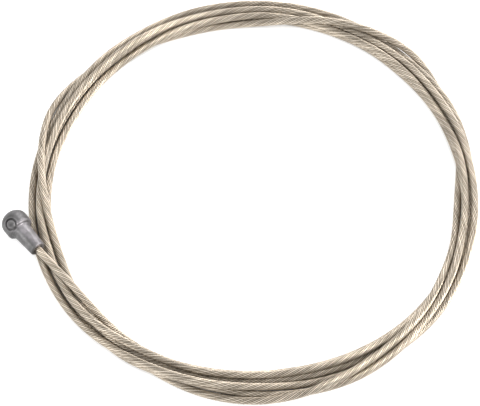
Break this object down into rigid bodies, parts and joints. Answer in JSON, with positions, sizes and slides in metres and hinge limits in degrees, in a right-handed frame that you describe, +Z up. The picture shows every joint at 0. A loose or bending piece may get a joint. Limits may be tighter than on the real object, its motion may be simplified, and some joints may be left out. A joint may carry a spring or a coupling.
{
  "type": "bicycle brake inner cable",
  "caption": "Stranded steel brake cable coiled flat in crossing turns, with a die-cast pear-shaped head on one end and a plain cut end.",
  "frame": {"origin": "on the floor, under the middle of the coiled cable and its head", "axes": "+Z up, away from the floor that the coil lies on; the head lies at -X and its cable leaves it towards -Y"},
  "size_m": [0.1033, 0.101, 0.0068],
  "materials": {
    "stainless_wire": "drawn stainless wire strand, warm satin with bright wires and dark grooves",
    "cast_zinc": "as-cast zinc alloy, matt grey with a faint grain"
  },
  "bodies": {
    "root": {"stranded_wire": "stainless_wire", "cast_head": "cast_zinc"}
  },
  "joints": []
}
